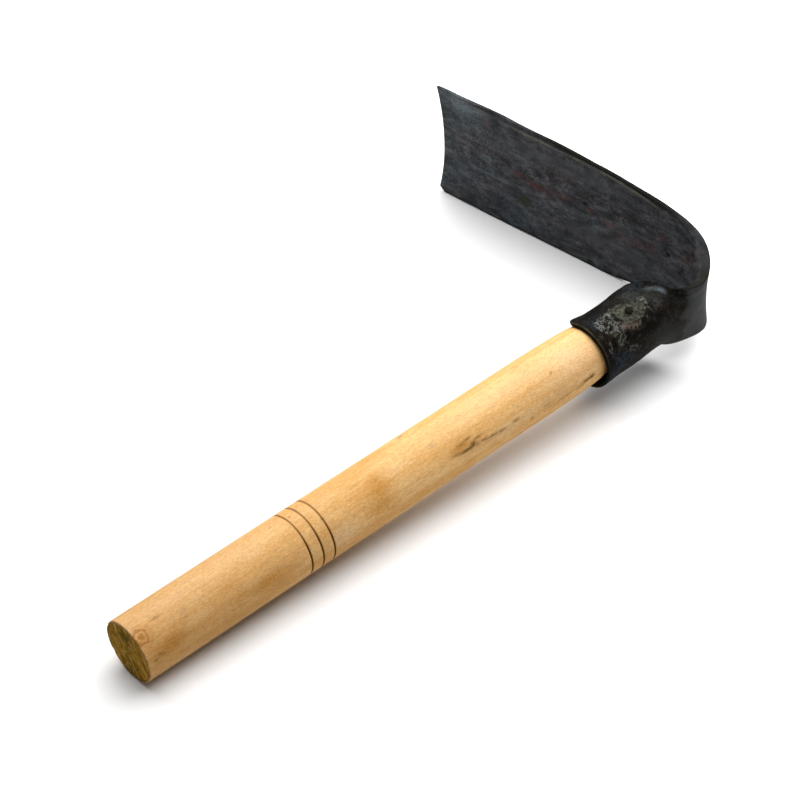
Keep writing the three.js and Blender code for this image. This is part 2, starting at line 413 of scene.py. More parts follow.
# Marks: distance from the mouth, place across the strip, half length, half width, strength
RUST_MARKS = (
    (207.5, 2.2, 5, 1.8, 1.0), (205, 1, 9, 2.8, 0.5), (220.5, 4.5, 4, 2, 0.8),
    (190, 3.5, 6, 1.8, 0.7), (197.5, 24.5, 3, 2, 0.35), (187.5, 19.5, 6, 3, 0.4),
    (171.5, 3.5, 3.6, 1.4, 1.0), (158.5, 0.9, 5, 1.6, 0.8), (152.5, -3.4, 6, 2.5, 0.45),
    (141.5, -3.3, 3.6, 3, 0.85), (130.5, -0.4, 5, 3, 0.6), (122.5, 9.9, 3, 2, 0.6),
    (98.5, 12.4, 3.2, 2.2, 1.0), (104, 4.4, 3, 3, 0.7), (245, 30, 3, 3, 0.7), (89, 16, 5, 2, 0.9),
    (83, 14, 4, 2, 0.6),
)
BROWN_MARKS = (
    (248, 13, 12, 2.6, 0.7), (230, 9, 12, 4, 0.6), (213, 6, 9, 4, 0.7), (201, 15, 10, 4, 0.8),
    (181, 13, 10, 4, 0.7), (167, 15, 7, 3.4, 0.8), (151, 11, 9, 3, 0.9), (137, 14, 8, 3, 0.9),
    (124, 12, 6, 4, 0.7), (183, -19, 10, 2, 0.5), (149, -22, 8, 5, 0.4), (106, -5, 4, 5, 0.8),
    (98, 6, 4, 8, 0.8), (262, 8, 8, 3, 0.4), (50, 9, 5, 8, 0.8), (44, 15, 5, 5, 1.0),
    (26, 6, 7, 4, 0.6), (14, 34, 8, 3, 0.8), (7, 16, 5, 5, 0.6), (34, 36, 8, 5, 0.6),
    (78, 16, 10, 3, 0.9),
)
# Bared metal, and painted highlights: the arc on the socket's shoulder, the thin lines along the
# blade's ridges and the patch at the blade's upper corner
BARED_AND_HIGHLIGHT_MARKS = (
    (263, 32, 8, 5, 1.0), (252, 33, 9, 2.6, 0.7), (259, 14.2, 6, 0.7, 0.40),
    (247, 13.2, 8, 0.7, 0.45), (228, 17, 9, 0.7, 0.35), (254, -5.6, 9, 0.8, 0.4),
    (236, -5.9, 10, 0.8, 0.5), (220, -4.4, 8, 0.7, 0.35), (275, -3.6, 3, 1.2, 0.4),
    (270, 9, 5, 4, 0.2), (210, -25.9, 3, 2.2, 0.45), (204, -19.6, 3, 2.2, 0.4),
    (263, 20, 0.8, 0.8, 0.7), (147, -1, 8, 0.8, 0.3), (133, 3, 6, 0.7, 0.35),
    (44.6, 26.8, 1.5, 0.7, 0.35), (46, 26.0, 1.3, 0.7, 0.5), (47.4, 24.9, 1.1, 0.7, 0.8),
    (48.6, 23.7, 1.1, 0.9, 1.0), (49.5, 22.2, 1.1, 1.1, 1.0), (50.0, 20.6, 0.9, 1.0, 0.8),
    (35.5, 27.5, 5, 4, 0.12), (44.5, 18.5, 3.6, 3.6, 0.14), (267, 33, 5, 5, 0.5),
    (14.6, 17.9, 1.4, 1.0, 0.6), (200, 22, 35, 6, 0.13), (255, 22, 14, 10, 0.22),
    (66, 13, 8, 1.2, 0.25),
)
BLUE_MARKS = (
    (248, -30, 10, 5, 0.6), (233, -17, 12, 8, 0.6), (266, -14, 10, 10, 0.7), (205, -27, 14, 5, 0.8),
    (222, -27, 12, 5, 0.7), (110, -16, 12, 7, 0.5), (118, 17, 10, 3, 0.5), (262, 26, 9, 8, 0.5),
)
DEEP_BLUE_MARKS = (
    (12.8, 30.5, 4, 4.5, 0.5), (6, 27, 3, 4, 0.6), (10.4, 3.8, 3, 3, 1.0), (7.2, -1.8, 4, 4, 0.8),
    (19, -3, 8, 4, 0.3), (16, 2, 4, 3, 0.9), (2, -4, 3, 5, 0.8), (42.8, 34, 7, 5, 0.8),
    (30, 42, 8, 4, 0.5), (6, 8, 3, 3, 0.5),
)
OLIVE_MARKS = (
    (215.5, -12.5, 4, 3.2, 1.0), (214.5, -12.8, 2, 2, 0.8), (130, -24, 10, 4, 0.4),
    (53.6, 8, 4, 6, 0.4), (44, 3, 6, 4, 0.5), (49, -3, 7, 8, 0.9), (36, 31, 5, 4, 0.5),
    (20, 24, 8, 4, 0.4), (36, 3, 7, 4, 0.7), (45.5, 22, 4, 3.2, 1.0), (44, 24, 4, 3, 0.6),
)
PIT_MARKS = (
    (173.7, 5.8, 1.9, 1.4, 1.0), (174.6, 6.6, 1.3, 1.1, 1.0), (118, 0.7, 1.3, 1.1, 1.0),
    (118, 0.7, 1.1, 0.9, 0.8), (120, 3.2, 0.9, 0.8, 0.8), (99, 12.2, 1.6, 1.1, 0.9),
)
# Black scale and pits, and painted shade: the marks 55 and 58 mm from the mouth darken the valley
# where the socket's flaps end
BLACK_AND_SHADE_MARKS = PIT_MARKS + (
    (97, 9.5, 1.4, 1.0, 0.9), (103, 6, 1.1, 1.6, 0.8), (109, -6, 1.6, 2.2, 0.8),
    (106.5, -3.6, 1.4, 1.0, 0.6), (14, 37, 9, 5, 0.6), (153, 10, 2, 0.9, 0.6),
    (216, 9.5, 1.2, 0.8, 0.5), (268, 23, 1.0, 0.8, 0.5), (22.8, 29.1, 1.7, 1.3, 1.0),
    (18.4, 21.0, 1.5, 2.0, 1.0), (18.2, 20.6, 1.3, 1.4, 0.7), (19.2, 24.4, 1.3, 1.8, 0.9),
    (20.4, 19.2, 1.4, 1.2, 0.8), (38.5, 19.5, 1.8, 1.8, 1.0), (41, 12.6, 2.6, 2.2, 1.0),
    (31, 10, 7, 2.2, 0.9), (23, 10, 5, 2, 0.8), (55, 17.8, 4, 4, 1.0), (58, 13, 2.6, 5, 0.8),
    (2.6, 20, 1.2, 50, 0.8), (3, 40, 4, 8, 0.6), (22, 38, 12, 4, 0.7), (36, 9, 4, 3, 0.8),
    (28, -16, 16, 5, 0.5), (23, -5, 12, 5, 0.6), (13, 33, 5, 4, 0.6),
)
CALM_MARKS = (
    (168, -14, 26, 7, 1.0), (140, -16, 12, 7, 0.8), (172, 26, 26, 6, 0.9), (215, 23, 22, 6, 0.8),
    (262, -20, 8, 6, 0.6), (266, 12, 6, 5, 0.6), (44, 0, 10, 9, 0.7),
)
WORN_MARKS = (
    (27, 24, 6.5, 4.4, 1.0), (25, 19.5, 4, 3, 1.0), (34, 20.5, 4, 3.6, 0.9),
    (20.5, 26, 3, 3.4, 0.8), (38, 22.5, 1.6, 4.5, 0.8), (31, 16.5, 5, 2, 0.6),
    (21, 18.5, 4.5, 2.6, 0.9), (24, 28, 4, 2, 0.5), (18, 23, 3.4, 3.6, 0.8),
)
CURL_MARKS = (
    (10.8, 22.9, 3.6, 5, 1.0), (7.6, 24, 2.6, 3, 0.6), (15.6, 18.4, 4, 3, 1.0),
    (14.8, 12.5, 3, 3.6, 0.9), (27, 14.7, 4, 2.6, 0.8), (34, 17.8, 4, 3, 0.4),
    (38.5, 21.5, 1.6, 4.5, 0.7), (6.5, 11, 4, 2.6, 0.7), (18, 4.5, 6, 3, 0.5),
    (17, 26, 2.4, 3, 0.7),
)
PINK_MARKS = (
    (14.4, 17.9, 1.3, 1.2, 1.0), (18.4, 16.8, 2, 1.6, 1.0), (23, 14.8, 2.2, 1.8, 1.0),
    (27, 13.6, 2, 1.6, 0.7), (43.6, 17.3, 3, 2.6, 0.2),
)


def steel_material():
    steel = Shader("forged_steel")
    plate = steel.vector("own")
    drawn = steel.vector("own", (0.45, 1, 1))
    broad = steel.noise(drawn, 0.06, 3, 0.6)
    patchy = steel.noise(steel.warped(drawn, 0.15, 4.0), 0.26, 5, 0.65)
    mottle = steel.noise(plate, 0.6, 4, 0.7)
    specks = steel.noise(plate, 1.6, 3, 0.7)
    films = steel.noise(steel.warped(plate, 0.2, 4.0), 0.28, 5, 0.72)
    socket = steel.number("socket")

    # Forge scale of the blade: slate, teal and violet greys
    slate = steel.mix(steel.ramp(broad, 0.36, 0.62), SLATE, SLATE_VIOLET)
    teal = steel.ramp(steel.noise(plate, 0.13, 4, 0.65), 0.52, 0.66, 0, 0.8)
    slate = steel.mix(teal, slate, TEAL)
    slate = steel.mix(1.0, slate, steel.ramp(patchy, 0.34, 0.66, 0.55, 1.45), "MULTIPLY")

    # Oil-blackened scale of the socket, with brown and olive films
    soot = steel.mix(steel.ramp(films, 0.42, 0.52), SOOT, SOOT_BROWN)
    soot = steel.mix(steel.ramp(films, 0.55, 0.63), soot, SOOT_OLIVE)
    deep = steel.broken("deep_blue", mottle, 0.44, 0.56, 0.15, 0.95)
    soot = steel.mix(deep, soot, SOOT_BLUE)
    soot = steel.mix(1.0, soot, steel.ramp(specks, 0.36, 0.62, 0.45, 1.5), "MULTIPLY")
    colour = steel.mix(socket, slate, soot)
    clouds = steel.noise(steel.warped(plate, 0.08, 6.0), 0.11, 3, 0.5)
    clouds = steel.ramp(clouds, 0.38, 0.62, 0.80, 1.22)
    colour = steel.mix(steel.ramp(socket, 0, 1, 1, 0), colour, clouds, "MULTIPLY")
    patches = steel.ramp(steel.noise(drawn, 0.075, 4, 0.6), 0.42, 0.58, 0.35, 1)
    patches = steel.math("MAXIMUM", patches, socket)
    calm = steel.number("calm")
    patches = steel.math("MULTIPLY", patches, steel.ramp(calm, 0, 1, 1, 0.3))
    colour = steel.mix(steel.math("MULTIPLY", calm, 0.5), colour, CALM_GREY)
    colour = steel.mix(patches, colour, steel.ramp(mottle, 0.34, 0.66, 0.62, 1.42), "MULTIPLY")
    smooth = steel.number("smooth")
    colour = steel.mix(smooth, colour, NECK_GREY)

    blue = steel.broken("blue", mottle, 0.45, 0.60, 0.1, 0.8)
    colour = steel.mix(blue, colour, BLUE)
    olive = steel.broken("olive", mottle, 0.35, 0.6, 0.3, 0.85)
    colour = steel.mix(olive, colour, steel.mix(socket, OLIVE, SOCKET_OLIVE))
    brown = steel.broken("brown", mottle, 0.58, 0.46, 0.1, 0.8)
    colour = steel.mix(brown, colour, steel.mix(socket, BROWN, SOCKET_BROWN))

    rusty = steel.broken("rust", specks, 0.42, 0.58, 0.15, 1)
    stray = steel.ramp(steel.noise(plate, 0.42, 5, 0.8), 0.63, 0.72, 0, 0.45)
    rusty = steel.math("MAXIMUM", rusty, stray)
    redness = steel.mix(steel.ramp(films, 0.45, 0.55), RUST, DARK_RUST)
    redness = steel.mix(steel.math("MULTIPLY", socket, 0.9), redness, SOCKET_RUST)
    colour = steel.mix(rusty, colour, redness)

    # Black scale and pits, with painted shade in the valley where the socket's flaps end
    black_and_shade = steel.broken("black_and_shade", mottle, 0.64, 0.46, 0.6, 1)
    colour = steel.mix(black_and_shade, colour, BLACK_SCALE_AND_SHADE)

    # Painted shade under the lip at the bend's upper edge
    under_lip_shade = steel.broken("under_lip_shade", mottle, 0.4, 0.55, 0.6, 0.95)
    colour = steel.mix(under_lip_shade, colour, UNDER_LIP_SHADE)
    # Painted shade inside the socket's tube
    colour = steel.mix(steel.math("MULTIPLY", steel.number("inside"), 0.8), colour, INSIDE_SHADE)

    # Painted reflection of the wood, in gold, on the bare rim of the mouth
    mouth = steel.broken("mouth", films, 0.4, 0.55, 0.25, 0.8)
    colour = steel.mix(mouth, colour, MOUTH_WOOD_REFLECTION)

    # Worn patch: flakes of bared metal, and thin bright scratches curling round them
    crackled = steel.warped(plate, 0.30, 3.5)
    flaking = steel.noise(crackled, 0.36, 4, 0.6)
    off_line = steel.math("SUBTRACT", steel.noise(crackled, 0.34, 2, 0.45), 0.5)
    lines = steel.ramp(steel.math("ABSOLUTE", off_line), 0.050, 0.018)
    cover = steel.math("ADD", steel.math("MULTIPLY", steel.number("worn"), 0.62), flaking)
    worn = steel.math("MULTIPLY", steel.ramp(cover, 0.80, 0.98), steel.ramp(black_and_shade, 0.75, 0.25))
    reach = steel.math("ADD", steel.math("MULTIPLY", steel.number("curls"), 0.5), films)
    curls = steel.math("MULTIPLY", steel.ramp(reach, 0.66, 0.80), lines)
    bared = steel.math("MAXIMUM", worn, curls)
    uneven = steel.ramp(steel.noise(plate, 0.55, 5, 0.7), 0.42, 0.60)
    metal_tone = steel.mix(uneven, BARED_DARK, BARED_LIGHT)
    colour = steel.mix(steel.math("MULTIPLY", worn, 0.9), colour, metal_tone)
    pink = steel.broken("pink", mottle, 0.42, 0.54)
    colour = steel.mix(steel.math("MULTIPLY", pink, 0.8), colour, BARED_PINK)
    colour = steel.mix(steel.math("MULTIPLY", curls, 0.9), colour, SCRATCH)
    # Bared metal and painted highlights, which also make the steel more metallic
    bared_and_highlight = steel.broken("bared_and_highlight", mottle, 0.36, 0.55, 0.35, 1)
    colour = steel.mix(bared_and_highlight, colour, BARED_AND_HIGHLIGHT)

    # Narrow faces of the plate, blackened, partly dark scale and partly painted shade, and their
    # rubbed arrises with a painted highlight along them
    colour = steel.mix(steel.math("MULTIPLY", steel.number("edge"), 0.95), colour, EDGE_SHADE_BLACK)
    rubbed_and_highlight = steel.broken("arris", broad, 0.42, 0.56, 0.35, 1)
    colour = steel.mix(rubbed_and_highlight, colour, ARRIS_HIGHLIGHT)
    colour = steel.mix(1.0, colour, steel.ramp(specks, 0.3, 0.7, 0.80, 1.22), "MULTIPLY")

    rough = steel.ramp(mottle, 0.25, 0.75, 0.5, 0.72)
    rough = steel.math("ADD", rough, steel.math("MULTIPLY", rusty, 0.2))
    rough = steel.math("SUBTRACT", rough, steel.math("MULTIPLY", bared, 0.08))
    metal = steel.ramp(steel.math("MAXIMUM", bared, bared_and_highlight), 0, 1, 0.1, 0.45)

    fine = steel.math("MULTIPLY", mottle, 0.7)
    fine = steel.math("ADD", fine, steel.math("MULTIPLY", specks, 0.35))
    normal = steel.bump(fine, *SCALE_BUMP)
    pits = steel.math("SUBTRACT", patchy, steel.math("MULTIPLY", bared, 0.12))
    normal = steel.bump(pits, *PATCH_BUMP, normal)
    steel.set(Base_Color=colour, Roughness=rough, Metallic=metal, Normal=normal)
    steel.set(Specular_IOR_Level=STEEL_SPECULAR)
    return steel.material


# ---- Head ----
# Layers of hammer relief: height, features' length and width in mm, seed
HAMMERING = ((0.16, 22, 13, 3), (0.08, 8, 6.5, 5), (0.03, 2.6, 2.2, 7))
FACES_APART = 40.0  # in the noise, so that the two faces differ
EDGES_APART = 50
SLAB = 30  # size of the noise's features off the strip
PIT_DEPTH = 0.35

# Swells of the socket's wall: distance from the mouth, half length, degrees round the tube, half
# width in degrees, height
WALL_SWELLS = ((39, 9, 142, 30, 1.2), (40, 10, -40, 28, -0.9), (49, 6, 66, 18, 0.5))
# Ridges along the blade: place across at their middle, bow, middle, half width, start, height
BLADE_RIDGES = ((13.4, 0.003, 246, 1.4, 205, 0.25), (-6, 0.0025, 240, 1.6, 200, 0.3))
RIDGE_RISE = 20
RIDGES_END = (260, 276)
WARP = 0.5
WARP_FROM = (110, 170)

# Lips at the bend: heights on the upper and lower side, place along the strip, reach from the edge
UPPER_LIP = 3.2
LOWER_LIP = 1.4
LIP_PLACE = (88, 17)
LIP_REACH = (6.5, 1.5)

# Swells of the long edges: distance from the mouth, half length, height
UPPER_SWELLS = ((236, 24, 1.85), (192, 18, 1.3), (122, 20, 1.7))
LOWER_SWELLS = ((78, 8, 3.0), (126, 12, 0.9), (60, 7, -1.9))
EDGE_WAVES = ((0.55, 17, 13), (0.14, 5, 17))  # height, length, seed
EDGE_WAVE_POWER = 6  # of the place across: how fast the waves die out inwards
UPPER_PROUD = 0.35
LOWER_GROWTH = 1.35
LOWER_LIMIT = 0.06  # the blade stands on its lower edge
CORNER_WEAR = 2.0
CORNER_WEAR_LENGTH = 5

MOUTH_ROUNDING = 0.85
EDGE_ROUNDING = 0.6
END_TURNS = (14, 32, 52, 72)  # of the rows round the mouth's rim and the cutting edge
END_POWER = 0.7
RIM_ROWS = (0.9, 1.1, 1.3)
BODY_FROM = 1.7
BODY_SHORT_OF_END = 0.9
ARRIS_SHARE = 0.3  # of the thickness, rounded at each long edge
ARRIS_POWERS = (0.6, 0.8)
RAGGED = ((4, 5, 19), (2, 2, 20))  # end of the socket's black: height, size, seed
SOCKET_TO = (52, 62)
NECK_FROM = (54, 62)
NECK_TO = (76, 100)
BLADE_FROM = (112, 130)  # where the marks of the blade's upper edge begin


def swells(s, places):
    return sum(height * hump(s, place, length) for place, length, height in places)


def hammered(s, across, side):
    """Relief left by the hammer on one face, in mm, positive outward from the metal"""
    place = np.stack([s, across, np.full_like(s, FACES_APART * side)], axis=-1)
    return sum(
        height * relief_noise(place, (length, width, SLAB), seed)
        for height, length, width, seed in HAMMERING
    )


def dent(s, across):
    """How far the whole sheet stands off its even shape, outward, in mm"""
    turn = np.degrees(curl_of(s) * across)
    off = sum(
        height * hump(s, place, length) * hump(turn, side, width)
        for place, length, side, width, height in WALL_SWELLS
    )
    ridges = 0
    for side, bow, middle, width, start, height in BLADE_RIDGES:
        ridge = height * hump(across, side + bow * (s - middle) ** 2, width)
        ridges = ridges + ridge * smoothstep(s, start, start + RIDGE_RISE)
    warp = WARP * relief_noise(np.stack([s, across * 0.4, s * 0], axis=-1), (60, 40, SLAB), 11)
    off = off - ridges * (1 - smoothstep(s, *RIDGES_END))
    return off + warp * smoothstep(s, *WARP_FROM)


def lip(s, across):
    """Metal crowded up on the inner face along the edges of the bend, in mm"""
    from_edge = half_width(s) - np.abs(across)
    high = np.where(across > 0, UPPER_LIP, LOWER_LIP)
    return high * hump(s, *LIP_PLACE) * smoothstep(from_edge, *LIP_REACH)


def edge_wave(s, side):
    """How far a long edge strays from its even line, in mm"""
    place = np.stack([s, s * 0 + EDGES_APART * side, s * 0], axis=-1)
    wave = sum(
        height * relief_noise(place, (length, SLAB, SLAB), seed)
        for height, length, seed in EDGE_WAVES
    )
    if side > 0:
        return wave + UPPER_PROUD + swells(s, UPPER_SWELLS)
    return np.minimum(LOWER_GROWTH * wave, LOWER_LIMIT) + swells(s, LOWER_SWELLS)


def clipped_corner(s):
    """Lower corner of the cutting edge, worn off"""
    return CORNER_WEAR * smoothstep(s, STRIP_LENGTH - CORNER_WEAR_LENGTH, STRIP_LENGTH)


def end_rows(turns):
    """Rows that round an end off: how far from the end each lies, and its share of the thickness"""
    angle = np.radians(turns)
    return 1 - np.cos(angle), np.sin(angle) ** END_POWER


def head_rows():
    """s of each row, and its share of the full thickness"""
    inset, share = end_rows(END_TURNS)
    body_end = STRIP_LENGTH - BODY_SHORT_OF_END
    body = np.linspace(BODY_FROM, body_end, round(STRIP_LENGTH / STRIP_STEP))
    body = np.concatenate([RIM_ROWS, body])
    cutting_end = (STRIP_LENGTH - EDGE_ROUNDING * inset)[::-1]
    s = np.concatenate([MOUTH_ROUNDING * inset, body, cutting_end])
    return s, np.concatenate([share, np.ones(len(body)), share[::-1]])


def head_masks(s, across, plate, out, deep):
    """Where each kind of mark shows, from 0 to 1, at the points of the head. out is 1 round a long
    edge and 0 on the faces; deep is 1 on the inner face and -1 on the outer"""
    masks = {
        "rust": RUST_MARKS, "brown": BROWN_MARKS, "bared_and_highlight": BARED_AND_HIGHLIGHT_MARKS, "blue": BLUE_MARKS,
        "deep_blue": DEEP_BLUE_MARKS, "olive": OLIVE_MARKS, "black_and_shade": BLACK_AND_SHADE_MARKS,
        "worn": WORN_MARKS, "curls": CURL_MARKS, "pink": PINK_MARKS, "calm": CALM_MARKS,
    }
    masks = {key: marks_mask(marks, s, across) for key, marks in masks.items()}
    upper_side = across > 0
    inner = smoothstep(deep, 0.2, 1)
    from_arris = half_width(s) - np.abs(across)

    # Blackened, partly dark scale and partly painted shade: the narrow faces, a strip beside them,
    # and the rim of the mouth
    far = 1 - 0.7 * smoothstep(s, 196, 236) + 0.5 * hump(s, 240, 5)
    edge = smoothstep(out, 0.1, 0.6) * (1 - 0.5 * hump(s, 90, 22)) * far
    lower = 0.65 * smoothstep(from_arris, 2.2, 0.6) * (across < 0) * smoothstep(s, 96, 120)
    upper = 0.85 * smoothstep(from_arris, 0.9, 0.2) * inner * upper_side
    upper *= smoothstep(s, *BLADE_FROM) * (1 - 0.6 * smoothstep(s, 180, 205))
    upper *= 1 - smoothstep(s, 222, 248)
    masks["edge"] = np.max([edge, lower, upper, smoothstep(s, 0.62, 0.4)], axis=0)

    # Rubbed upper arris, with a painted highlight along it
    rubbed_and_highlight = hump(from_arris, 1.4, 0.6) * inner * upper_side * smoothstep(s, *BLADE_FROM)
    masks["arris"] = rubbed_and_highlight * (1 - 0.75 * smoothstep(s, 200, 240))
    # Painted shade under the lip at the bend
    masks["under_lip_shade"] = hump(from_arris, 6.4, 1.1) * inner * upper_side * hump(s, 92, 16)
    outer_face = smoothstep(deep, -0.6, -1)
    # Painted reflection of the wood along the mouth's rim
    masks["mouth"] = hump(s, 0.95, 0.32) * outer_face * smoothstep(across, 0, 12)
    # Painted shade on the inner face inside the socket's tube
    masks["inside"] = inner * (1 - smoothstep(s, 40, 60))

    ragged = s
    for height, size, seed in RAGGED:
        ragged = ragged + height * relief_noise(plate, (size, size, SLAB), seed)
    masks["socket"] = 1 - smoothstep(ragged, *SOCKET_TO)
    neck = smoothstep(ragged, *NECK_FROM) * (1 - smoothstep(s, *NECK_TO))
    masks["smooth"] = 0.85 * (deep < 0) * neck
    return masks


def make_head():
    rows, share = head_rows()
    roll = np.radians(np.linspace(-90, 90, ARRIS_STEPS + 2)[1:-1])
    face = np.linspace(1, -1, STRIP_COLUMNS)
    # Columns: down the outer face, round the lower edge, up the inner face, round the upper edge
    v = np.concatenate([face, -np.ones(ARRIS_STEPS), -face, np.ones(ARRIS_STEPS)])
    still = np.zeros(STRIP_COLUMNS)
    round_edge = np.cos(roll) ** ARRIS_POWERS[0]
    out = np.concatenate([still, round_edge, still, round_edge])
    level = np.sign(roll) * np.abs(np.sin(roll)) ** ARRIS_POWERS[1]
    deep = np.concatenate([still - 1, level, still + 1, -level])
    s, v = np.meshgrid(rows, v, indexing="ij")
    share = share[:, None]

    thickness = station(s, 2)
    arris = ARRIS_SHARE * thickness
    wave = np.where(v < 0, edge_wave(s, -1) - clipped_corner(s), edge_wave(s, 1))
    reach = half_width(s) - arris + wave * np.abs(v) ** EDGE_WAVE_POWER
    across = v * reach + np.sign(v) * out * arris * share
    relief = np.where(deep < 0, hammered(s, across, -1), hammered(s, across, 1))
    relief = relief - PIT_DEPTH * marks_mask(PIT_MARKS, s, across)
    depth = deep * share * (thickness / 2 + relief * (1 - out)) - dent(s, across)
    depth = depth + smoothstep(deep, -1, 1) * lip(s, across)
    points = strip_point(s, across, depth)

    columns = s.shape[1]
    faces = grid_quads(len(rows), columns)
    faces += end_faces(0, False) + end_faces((len(rows) - 1) * columns, True)
    plate = np.stack([s, across, depth], axis=-1)
    masks = head_masks(s, across, plate, out, deep)
    attributes = {key: values.ravel() for key, values in masks.items()}
    attributes["own"] = plate.reshape(-1, 3)
    material = steel_material()
    return make_piece("head", points, faces, attributes, material, "hoe_head")


def end_faces(start, far):
    """Faces that close one end of the strip between its outer and inner face"""
    last = STRIP_COLUMNS - 1
    inner = STRIP_COLUMNS + ARRIS_STEPS
    faces = []
    for j in range(last):
        faces.append([j, j + 1, inner + last - j - 1, inner + last - j])
    faces.append(list(range(last, inner + 1)))
    faces.append([*range(inner + last, inner + STRIP_COLUMNS + ARRIS_STEPS), 0])
    faces = [[start + i for i in f] for f in faces]
    return faces if far else [f[::-1] for f in faces]


# ---- Handle ----
# Colours, linear; the wood's is multiplied by a painted shade that darkens it towards the butt and
# inside the socket
HONEY = (0.589, 0.336, 0.117)
LIGHT_HONEY = (0.639, 0.398, 0.167)
CLOUD_DARK = (0.521, 0.27, 0.078)
CLOUD_LIGHT = (0.656, 0.446, 0.22)
STREAK = (0.487, 0.242, 0.067)
GRAIN = (0.38, 0.187, 0.058)
FLECK = (0.396, 0.204, 0.07)
AMBER_AND_SHADE = (0.43, 0.200, 0.040)
GREYED = (0.42, 0.282, 0.16)
PALE_AND_HIGHLIGHT = (0.67, 0.450, 0.250)
STAIN = (0.135, 0.068, 0.018)
KNOT_BROWN = (0.36, 0.155, 0.032)
GROOVE_BROWN = (0.120, 0.042, 0.001)
WOOD_SHADE = (0.76, 0.73, 0.72)
END_DARK = (0.048, 0.025, 0.001)
END_LIGHT = (0.42, 0.215, 0.024)
MOULD_DARK = (0.19, 0.098, 0.004)
MOULD_LIGHT = (0.50, 0.27, 0.070)
END_OLIVE = (0.15, 0.125, 0.006)
GRIME = (0.045, 0.032, 0.001)
RIM_BROWN = (0.09, 0.042, 0.002)

WOOD_SPECULAR = 0.04
GRAIN_BUMP = (0.25, 0.0003)  # strength, metres
SAWN_BUMP = (0.9, 0.0015)

# Marks: distance from the butt, degrees round from the -Y side towards the top, half length,
# half width in degrees, strength
# Amber stains; the long mark 60 mm from the butt, low on the -Y side, is painted shade along the
# lower side
AMBER_AND_SHADE_MARKS = (
    (15, 26, 10, 15, 1.0), (60, -4, 80, 16, 0.25), (71, 26, 12, 14, 0.9), (53, 30, 8, 12, 0.4),
    (143, 24, 8, 12, 0.8), (144, 50, 7, 16, 0.8), (145, 72, 5, 12, 0.5), (194, 34, 8, 9, 0.9),
    (107, 25, 3.4, 20, 0.4), (277, 5, 9, 5, 0.5), (260, 62, 3, 4, 0.5), (120, 75, 40, 20, 0.25),
    (30, -40, 22, 18, 0.25), (205, -120, 16, 14, 0.6), (60, 160, 14, 16, 0.5),
    (150, -150, 12, 12, 0.6), (240, 150, 18, 14, 0.4), (5, 60, 6, 12, 0.4),
)
STAIN_MARKS = (
    (190.5, 26, 3, 2, 0.8), (195.5, 22, 3.4, 2.2, 0.9), (200, 22, 2.4, 3.2, 0.75),
    (201.6, 28, 1.8, 3.0, 1.0), (199.5, 40, 2.6, 1.8, 0.9), (205.5, 33, 2.4, 1.8, 0.9),
    (196.5, 24, 3, 2.6, 0.7), (203, 24, 2.2, 2.4, 0.7), (195, 38, 3, 1.8, 0.6),
    (204.3, 19.5, 1.3, 1.4, 0.8), (208.5, 22, 2, 1.8, 1.0), (214, 19.3, 5, 1.6, 1.0),
    (220.5, 16.8, 3, 1.6, 0.9), (230, 19, 2.2, 2.6, 0.8), (240, 1, 0.9, 2.6, 0.9),
    (278.5, 4, 2.4, 4, 1.0), (283, 6, 2, 5, 0.7), (274, -1.5, 3, 2.0, 0.8), (263.5, 1, 5, 1.6, 0.6),
    (250.5, 9, 3, 1.1, 0.6), (174, 119, 2, 3, 0.8), (259.8, 56, 0.9, 1.8, 0.9),
    (99, 98, 0.8, 1.8, 0.7), (110.6, 61, 1.0, 2.0, 0.6), (147.5, 59, 0.9, 1.6, 0.5),
    (282.4, 3, 1.6, 2.4, 1.0), (14.5, 76, 2.6, 3, 0.5), (90, -100, 3, 2, 0.7),
    (4.5, 16, 1.3, 2.4, 0.7), (7.5, 21, 1.2, 2.0, 0.7), (9.5, 17, 1.4, 2.0, 0.5),
    (170, -60, 5, 1.4, 0.6), (228, 170, 4, 1.6, 0.7), (40, -160, 1.4, 2.6, 0.8),
)
GREY_MARKS = (
    (181, 63, 2.6, 4, 0.9), (116, 22, 5, 18, 0.5), (225, 14, 22, 9, 0.45), (262, 15, 14, 14, 0.45),
    (30, 60, 16, 14, 0.25), (250, 40, 22, 10, 0.25), (285, 20, 8, 14, 0.3),
    (130, -140, 24, 14, 0.4),
)
# Pale wood; the broad marks 60 and 20 mm from the butt, along the top of the handle, are a painted
# highlight
PALE_AND_HIGHLIGHT_MARKS = (
    (60, 98, 60, 28, 0.45), (275, 60, 20, 34, 0.8), (225, 80, 40, 24, 0.5), (118, 12, 9, 20, 0.5),
    (20, 88, 26, 20, 0.25),
)
GRIME_MARKS = (
    (3, 9, 4, 3.6, 1.0), (-1.5, 11, 1.8, 2, 1.0), (0.5, 4, 1.4, 6, 0.6), (-6, -4, 1.4, 5, 0.6),
    (12, 8, 2, 6, 0.5),
)
KNOT = (3.3, 62)  # centre of the knot by the butt: distance, degrees
SAW_TILT = math.radians(-66)  # of the saw's marks on the butt, from level

# Unevenness of the turned wood: height, features' length and width in mm, seed
WOBBLE = ((0.14, 70, 14, 21), (0.05, 22, 5, 22), (0.025, 14, 1.4, 23))
WOBBLE_FADE = 25  # from the butt
GROOVE_UNEVEN = 0.12
GROOVE_OVERLAP = 1.3  # how far past a groove its fine rings go, in half widths
GROOVE_PALER = 0.7  # towards the top of the handle, between these angles
GROOVE_PALER_FROM = (25, 85)
# Painted shade along the handle fades out between these distances from the butt
WOOD_SHADE_TO = (-40, 230)
TENON_SHADE = 9  # length over which the wood in the socket darkens with painted shade
CHIP_DEPTH = 0.7
CHIP_REACH = 1.6
SAW_DEPTH = 0.22
RIM_STRENGTH = 0.7
RIM_ROWS_DARK = 3
TENON_TIP_RINGS = (0.6, 0.2)  # shares of the radius


